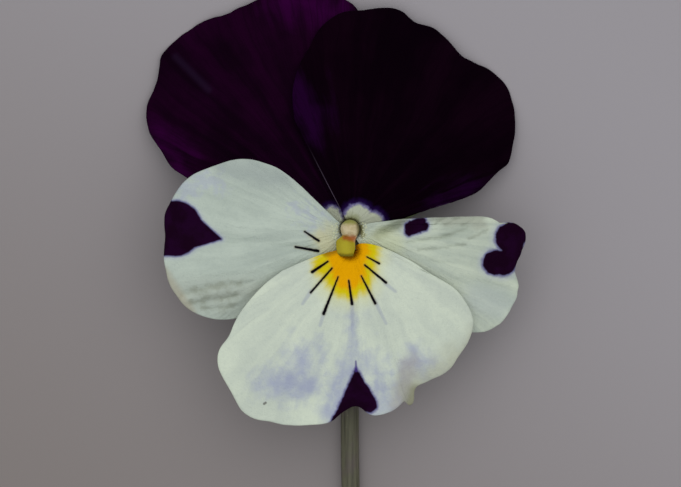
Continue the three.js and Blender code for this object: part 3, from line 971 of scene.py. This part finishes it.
def side_left_level(x, y):
    lobe = 0.9 * ease((-2.2 - y) / 5.5) * ease((-3 - x) / 5)
    waves = fan_wrinkles(x, y, 16, 0.1, 4) + 0.1 * uneven(x / 3.2, y / 3.2, 1)
    rim = 0.35 * ease((math.hypot(x + 9, y - 0.8) - 6.5) / 3)
    waves += foot_rise(x, y, 0.3)
    return flat_level(SIDE_LEVEL, 0.9, 0, 1.6, x, y) - lobe - rim + waves + folds(x, y, LEFT_FOLDS)


def side_right_level(x, y):
    waves = fan_wrinkles(x, y, 20, 0.12, 6) + 0.08 * uneven(x / 2.6, y / 2.6, 2)
    waves += foot_rise(x, y, 0.3)
    return flat_level(SIDE_LEVEL, 2.2, 0, 1.6, x, y) - right_fall(x, y) + waves + folds(x, y, RIGHT_FOLDS)


def lower_level(x, y):
    waves = fan_wrinkles(x, y, 12, 0.1, 8) + 0.12 * uneven(x / 4, y / 4, 3)
    rim = 0.7 * ease((-11 - y) / 6) + 0.6 * ease((x - 4.7) / 1.3) * ease((-11.5 - y) / 3)
    waves *= ease(-y / 4)
    return flat_level(0, 0.9, 3.2, 0, x, y) - right_fall(x, y) - rim + waves + folds(x, y, LOWER_FOLDS)


def petal(name, edge_points, stands, leads, depth, level, ragged, face, back, foot=(FOOT_RING, AXIS_Y),
          columns=104, claw_length=CLAW_LENGTH, foot_reach=FOOT_REACH):
    """A thin petal: rays lead out of its narrow foot and fan out to its edge, and near the throat they bend
    down. stands and leads are the directions in which the foot's two sides stand and lead out. The foot is
    part of a circle with this radius and this centre on the middle line."""
    edge = along(edge_points)
    seed = edge_points[0][0]

    def place(u, v):
        start = around(between(stands, u), *foot)
        end = edge(u)
        rim = ragged * (uneven(u * 26, seed, 0) + 0.6 * uneven(u * 70, seed, 5))
        end += (end - start).normalized() * rim
        lead = math.radians(between(leads, u))
        claw = start + min(claw_length, (end - start).length / 2) * Vector((math.cos(lead), math.sin(lead)))
        point = start * (1 - v) ** 2 + claw * (2 * v * (1 - v)) + end * v ** 2
        bend = max(0, 1 - (point - start).length / foot_reach) ** 2
        z = between((level(point.x, point.y), -depth), bend)
        z = max(z, GROUND + PETAL_THICKNESS / 2 + 0.02)
        further = 1 - z / VIEW_HEIGHT
        return VIEW_X + (point.x - VIEW_X) * further, VIEW_Y + (point.y - VIEW_Y) * further, z

    piece = gridded(name, columns, PETAL_ROWS, place)
    if sum(side.normal.z for side in piece.data.polygons) < 0:
        flip(piece)
    wear(piece, face, back)
    modify(piece, "SOLIDIFY", thickness=PETAL_THICKNESS * MM, offset=0, material_offset=1)
    smoother(piece)
    return settle(piece)


# ---- the petals

def make_petals():
    pale, dark = pale_back(), velvet_back()
    for name, slot, node_name, *shape in (
        ("upper_left_petal", "petal_purple", "petal_upper_left", UPPER_LEFT_EDGE, (160, 100), (158, 112),
         THROAT_DEPTH + 0.3, upper_left_level, 0.1, upper_left_face(), dark),
        ("upper_right_petal", "petal_purple", "petal_upper_right", UPPER_RIGHT_EDGE, (112, 18), (119, 1),
         THROAT_DEPTH, upper_right_level, 0.1, upper_right_face(), dark),
        ("left_side_petal", "petal_pale", "petal_side_left", SIDE_LEFT_EDGE, (153, 240), (137, 246),
         THROAT_DEPTH, side_left_level, 0.07, left_side_petal_face(), pale),
        ("right_side_petal", "petal_pale", "petal_side_right", SIDE_RIGHT_EDGE, (22, -58), (14, -60),
         THROAT_DEPTH, side_right_level, 0.08, right_side_petal_face(), pale),
    ):
        finish_piece(petal(name, *shape), slot, node_name)
    blade = petal(
        "lower_petal_blade", LOWER_EDGE, (170, 400), (178, 408), 2.6, lower_level, 0.08, lower_petal_face(),
        pale, foot=(CHANNEL_RADIUS, CHANNEL_Y), columns=120, claw_length=1.6, foot_reach=CHANNEL_REACH)
    lower = joined("lower_petal", blade, make_spur(pale))
    finish_piece(settle(lower), "petal_pale", "petal_lower")


def make_spur(skin):
    """The hollow spur behind the lower petal: a thin cup with a round tip."""
    inner = SPUR_RADIUS - SPUR_WALL
    outside, inside = [], []
    for turn in (0, 20, 40, 60, 80):
        lift, out = 1 - math.cos(math.radians(turn)), math.sin(math.radians(turn))
        outside.append((SPUR_RADIUS * out, SPUR_TIP + SPUR_RADIUS * lift))
        inside.insert(0, (inner * out, SPUR_TIP + SPUR_WALL + inner * lift))
    mouth = [
        (SPUR_RADIUS, -5), (SPUR_RADIUS * 0.97, -3.6), (SPUR_RADIUS, SPUR_MOUTH),
        (inner, SPUR_MOUTH), (inner * 0.97, -3.6), (inner, -5),
    ]
    spur = turned("spur", outside + mouth + inside, SPUR_Y, 28)
    wear(spur, skin)
    return settle(spur)


# ---- sepals, bracts, stem

def strip(name, knots, to_place, thickness, skin):
    """A narrow leaf along its knots of (distance out, height, half width), closed and rounded."""
    path = along(knots)

    def place(u, v):
        out, rise, half = path(v)
        across = 2 * u - 1
        keel = 0.12 * math.exp(-((across / 0.16) ** 2))
        hollow = 0.34 * half * across ** 2
        ripple = 0.05 * uneven(across * 2.5, v * 9, 1)
        return to_place(out, rise + hollow - keel + ripple, half * across)

    leaf = gridded(name, 12, 34, place)
    wear(leaf, skin)
    if leaf.data.polygons[len(leaf.data.polygons) // 2].normal.z < 0:
        flip(leaf)
    modify(leaf, "SOLIDIFY", thickness=thickness * MM, offset=0)
    smoother(leaf)
    return settle(leaf)


def sepal_knots(angle):
    """A sepal's knots: its ear points back past the hook of the stem, its blade follows the petals' backs."""
    root = RECEPTACLE_TOP - 0.77

    def under(distance):
        x, y = around(angle, distance)
        left = LEFT_LEVEL - ARCH_DROP * arch(x, y)
        return min(left, right_arch(x, y)) - 1.04

    ring, length, half = SEPAL_RING, 9.5, 1.35
    knots = [
        (ring + 0.76, root - 2, 0.25), (ring + 0.62, root - 1.6, 0.6), (ring + 0.4, root - 1, 0.78),
        (ring, root, 0.6),
    ]
    for out, lift, half_width in (
        (0.9, 0.3, 0.75), (0.22 * length, 0.25, 1.15), (0.4 * length, 0.2, half),
        (0.6 * length, 0.1, 0.92 * half), (0.78 * length, 0, 0.62 * half),
        (0.92 * length, math.inf, 0.26 * half), (length, math.inf, 0.05),
    ):
        knots.append((ring + out, min(root + lift, under(ring + out)), half_width))
    return knots


def make_sepals():
    skin = green_skin("sepal_skin", (104, 128, 58), (72, 96, 44), (96, 78, 72))
    for number, angle in enumerate((90, 156, 222, 318, 24), 1):
        turn = math.radians(angle)

        def to_place(out, rise, aside):
            x = out * math.cos(turn) - aside * math.sin(turn)
            y = AXIS_Y + out * math.sin(turn) + aside * math.cos(turn)
            return x, y, rise

        sepal = strip(f"sepal_leaf_{number}", sepal_knots(angle), to_place, 0.22, skin)
        finish_piece(sepal, "leaf_green", f"sepal_{number}")


def make_bracts():
    skin = green_skin("bract_skin", (118, 124, 78), (84, 92, 54), (104, 84, 80))
    length, width = 3, 0.9
    knots = [
        (0, 0, 0.3 * width), (0.2 * length, 0.02, 0.46 * width), (0.4 * length, 0.1, 0.5 * width),
        (0.62 * length, 0.22, 0.42 * width), (0.8 * length, 0.35, 0.28 * width), (length, 0.5, 0.03),
    ]
    for name, side in (("left", -1), ("right", 1)):

        def to_place(out, rise, aside):
            return side * (STEM_RADIUS + 0.345 + rise), AXIS_Y - BRACTS_BACK + out, STEM_LEVEL + aside

        bract = strip(f"{name}_bract", knots, to_place, 0.16, skin)
        finish_piece(bract, "leaf_green", f"bract_{name}")


def make_stem():
    """The receptacle and the stem, grown as one: it hooks round the spur and runs out to its cut end."""
    top, low = RECEPTACLE_TOP, RECEPTACLE_TOP - RECEPTACLE_HEIGHT
    wide = RECEPTACLE_RADIUS
    cup = turned("receptacle", [
        (0, low), (0.8 * wide, low), (0.95 * wide, low + 0.2), (wide, low + 0.45), (wide, top - 0.2),
        (0.95 * wide, top - 0.04), (0.85 * wide, top), (0.3 * wide, top), (0, top),
    ], AXIS_Y, 28)
    middle_y = AXIS_Y - HOOK_RADIUS * math.sqrt(0.5)
    middle_z = RECEPTACLE_TOP - RECEPTACLE_HEIGHT / 2 - HOOK_RADIUS * math.sqrt(0.5)
    points = []
    for turn in (45, 22.5, 0, -22.5, -45, -67.5, -90):
        angle = math.radians(turn)
        points.append((0, middle_y + HOOK_RADIUS * math.cos(angle), middle_z + HOOK_RADIUS * math.sin(angle)))
    run = middle_y - AXIS_Y + STEM_LENGTH
    for share, aside in ((0.15, 0), (0.4, 0.1), (0.7, 1.1), (1, 2.6)):
        points.append((aside, middle_y - share * run, STEM_LEVEL))

    def thickness(share, turn):
        ribs = 0.03 * math.cos(4 * turn + 0.6) + 0.012 * math.cos(9 * turn + 5 * share)
        rough = 0.02 * uneven(share * 30, math.cos(turn), math.sin(turn))
        joint = 0.02 * math.exp(-(((share - 0.19) / 0.008) ** 2))
        return STEM_RADIUS * (0.91 + ribs + rough + joint)

    stem = rod("stem_rod", points, thickness, 32, 260)
    wear(stem, stem_skin(), cut_face())
    wear(cup, stem.data.materials[0])
    united("stem_and_receptacle", stem, cup)
    end_y = min(corner.co.y for corner in stem.data.vertices)
    for side in stem.data.polygons:
        if side.normal.y < -0.9 and side.center.y < end_y + 0.2 * MM:
            side.material_index = 1
    settle(stem)
    only(stem)
    bpy.ops.object.shade_smooth_by_angle(angle=math.radians(50))
    finish_piece(stem, "stem_green", "stem")


# ---- pistil, stamens, beards

def make_pistil():
    """Ovary, style and round stigma in one, with the cavity under its lip and a tongue over the spur."""
    foot = RECEPTACLE_TOP + 0.22
    profile = [
        (0, foot), (0.3, foot), (0.42, foot + 0.15), (0.52, foot + 0.6), (0.5, foot + 0.95),
        (0.4, foot + 1.35), (0.28, foot + 1.6), (0.25, -1.2), (0.27, -0.78),
        (0.44, -0.64), (0.72, -0.45), (0.9, -0.15), (0.94, 0.12), (0.88, 0.42), (0.72, 0.67),
        (0.43, 0.87), (0.16, 0.945), (0, 0.95),
    ]
    globe = turned("stigma", profile, AXIS_Y, 32)
    for corner in globe.data.vertices:
        place = (corner.co - THROAT) / MM
        front = math.hypot(place.x, (place.y - 0.86) * 1.25)
        if place.z > -0.4 and front < 0.5:
            dent = 0.34 * (1 - ease(front / 0.5))
            corner.co = at(place.x, place.y + 0.5 * dent, place.z - dent)

    def tongue_place(u, v):
        across = 2 * u - 1
        y = between((1, -1.16), v)
        half = between((0.75, 0.96), ease(v * 3.4)) * (1 - 0.18 * ease((v - 0.55) / 0.45))
        x = -0.42 * ease(v * 3.4) + half * across
        z = 0.2 - 0.1 * v - 0.28 * ease((v - 0.78) / 0.22) + 0.12 * (1 - across ** 2)
        return x, y, z

    tongue = gridded("tongue", 14, 16, tongue_place)
    if tongue.data.polygons[0].normal.z < 0:
        flip(tongue)
    modify(tongue, "SOLIDIFY", thickness=0.3 * MM, offset=-1)
    skin = pistil_skin()
    wear(globe, skin)
    wear(tongue, skin)
    united("pistil_with_stigma", globe, tongue)
    smoother(globe)
    finish_piece(settle(globe), "pistil", "pistil")


def make_anther():
    """One anther at the flower's middle: two pollen sacs with a groove between, and a pointed orange tip."""
    only()
    bpy.ops.mesh.primitive_uv_sphere_add(segments=16, ring_count=12, radius=0.5, location=(0, 0, 0))
    anther = named("anther")
    for corner in anther.data.vertices:
        x, y, z = corner.co
        groove = 1 - 0.35 * math.exp(-((y / 0.12) ** 2))
        narrow = 1 - 0.35 * ease((z - 0.3) / 0.2)
        corner.co = Vector((0.3 * x * groove, 0.9 * y * narrow, 2.8 * z + 0.36)) * MM
    smoother(anther)
    return anther


def make_stamens():
    skin = anther_skin()
    pattern = make_anther()
    wear(pattern, skin)
    height = RECEPTACLE_TOP + 0.22 + 1.1
    for number, angle in enumerate((90, 162, 234, 306, 18), 1):
        stamen = copy_of(pattern, f"anther_{number}")
        stamen.rotation_euler.z = math.radians(angle)
        place = around(angle, ANTHER_RING)
        stamen.location = at(place.x, place.y, height)
        settle(stamen)
        if place.y < AXIS_Y:
            horn = make_horn(place, height, skin)
            stamen = settle(joined(f"anther_{number}", stamen, horn))
        finish_piece(stamen, "anther", f"stamen_{number}")
    remove(pattern)


def make_horn(place, height, skin):
    """The thin horn of a lower stamen, over the spur's rim and down into the spur."""
    inside = math.copysign(0.26, place.x)
    over = SPUR_MOUTH + 0.37
    points = [
        (place.x, place.y, height),
        (place.x * 0.8, (place.y + SPUR_Y + SPUR_RADIUS) / 2, (height + over) / 2),
        (inside * 1.1, SPUR_Y + SPUR_RADIUS - SPUR_WALL / 2, over),
        (inside, SPUR_Y + 0.1, SPUR_MOUTH - 0.3),
        (inside, SPUR_Y, SPUR_MOUTH - 1.785),
        (inside, SPUR_Y, SPUR_MOUTH - 3.315),
    ]
    horn = rod("horn", points, lambda share, turn: 0.15 * (1 - 0.5 * ease((share - 0.7) / 0.3)), 8, 24)
    wear(horn, skin)
    return horn


def make_hair():
    """One beard hair, club-shaped, upright at the origin."""
    only()
    bpy.ops.mesh.primitive_cone_add(vertices=7, radius1=0.07 * MM, radius2=0.09 * MM, depth=0.12 * MM)
    hair = named("hair")
    edit(hair, "FACE")
    bpy.ops.mesh.select_all(action="DESELECT")
    object_mode()
    for side in hair.data.polygons:
        side.select = side.normal.z > 0.9
    bpy.ops.object.mode_set(mode="EDIT")
    bpy.ops.mesh.extrude_region_move(TRANSFORM_OT_translate={"value": (0, 0, 0.05 * MM)})
    bpy.ops.transform.resize(value=(0.5, 0.5, 1))
    object_mode()
    for corner in hair.data.vertices:
        corner.co.z += 0.06 * MM
    return hair


def make_beard(name, places, lean, skin):
    """A tuft of hairs that lean over the throat."""
    pattern = make_hair()
    wear(pattern, skin)
    hairs = []
    for number, (x, y, z) in enumerate(places):
        hair = copy_of(pattern, f"{name}_{number}")
        wander = noise.noise_vector(Vector((number * 1.7, x, y)))
        heading = Vector((lean + 0.5 * wander.x, 0.15 + 0.6 * wander.y, 0.9)).normalized()
        hair.rotation_mode = "QUATERNION"
        hair.rotation_quaternion = heading.to_track_quat("Z", "Y")
        hair.scale = (1, 1, 0.8 + 0.5 * wander.z)
        hair.location = at(x, y, z)
        hairs.append(hair)
    remove(pattern)
    beard = settle(joined(name, *hairs))
    finish_piece(beard, "petal_pale")


def make_beards():
    """The beards of the two side petals, one on each side of the stigma."""
    skin = beard_skin()
    for name, side, level in (("left_beard", -1, side_left_level), ("right_beard", 1, side_right_level)):
        places = []
        for row in range(3):
            for step in range(9 - row):
                x = side * (1.32 + 0.17 * row + 0.16 * uneven(1.3 * row, 0.7 * step, side))
                y = between((0.5, 2.1), (step + 0.5 * row) / 8)
                y += 0.16 * uneven(0.9 * step, row, side)
                start = around(math.degrees(math.atan2(y - AXIS_Y, x)), FOOT_RING)
                bend = max(0, 1 - (Vector((x, y)) - start).length / FOOT_REACH) ** 2
                places.append((x, y, between((level(x, y), -THROAT_DEPTH), bend)))
        make_beard(name, places, -0.55 * side, skin)


# ---- floor, lights, camera

def make_floor():
    only()
    bpy.ops.mesh.primitive_plane_add(size=8, location=(0, 0, 0))
    floor = named("floor")
    coat = Coat("floor_card")
    # Painted light falloff: the card is darker and warmer towards the lower left and lighter towards the
    # upper right
    painted_falloff = vectors("DOT_PRODUCT", {0: coat.place, 1: (0.5, 0.8, 0)}, "Value")
    coat.ground(painted_falloff, -50, 30, (123, 116, 112), (149, 145, 148))
    wear(floor, coat.shader(coat.specks(0.4), 0.02, 0.9, specular_ior_level=0.1))


def make_lamp(name, place, size, power, colour):
    lamp = bpy.data.objects.new(name, bpy.data.lights.new(name, "AREA"))
    lamp.data.shape = "SQUARE"
    lamp.data.size = size
    lamp.data.energy = power
    lamp.data.color = colour
    lamp.location = place
    lamp.rotation_mode = "QUATERNION"
    lamp.rotation_quaternion = (THROAT - place).to_track_quat("-Z", "Y")
    lamp.visible_camera = False
    bpy.context.collection.objects.link(lamp)


def make_lights():
    make_lamp("key", Vector((0.16, 0.42, 1.4)), 2.2, 9, (1, 0.99, 0.97))
    make_lamp("fill", Vector((-0.5, -0.5, 1.1)), 1.2, 1.4, (0.96, 0.98, 1))
    world = bpy.data.worlds.new("studio")
    world.use_nodes = True
    backdrop = world.node_tree.nodes["Background"]
    backdrop.inputs["Color"].default_value = (0.93, 0.95, 1, 1)
    backdrop.inputs["Strength"].default_value = 0.55
    bpy.context.scene.world = world
    bpy.context.scene.view_settings.view_transform = "Standard"


def make_camera():
    camera = bpy.data.objects.new("camera", bpy.data.cameras.new("camera"))
    camera.location = at(VIEW_X, VIEW_Y, VIEW_HEIGHT)
    camera.data.lens = LENS
    camera.data.sensor_width = 36
    camera.data.clip_start = 0.01
    bpy.context.collection.objects.link(camera)
    bpy.context.scene.camera = camera


make_camera()
make_floor()
make_lights()
make_petals()
make_sepals()
make_bracts()
make_stem()
make_pistil()
make_stamens()
make_beards()

bpy.context.view_layer.update()
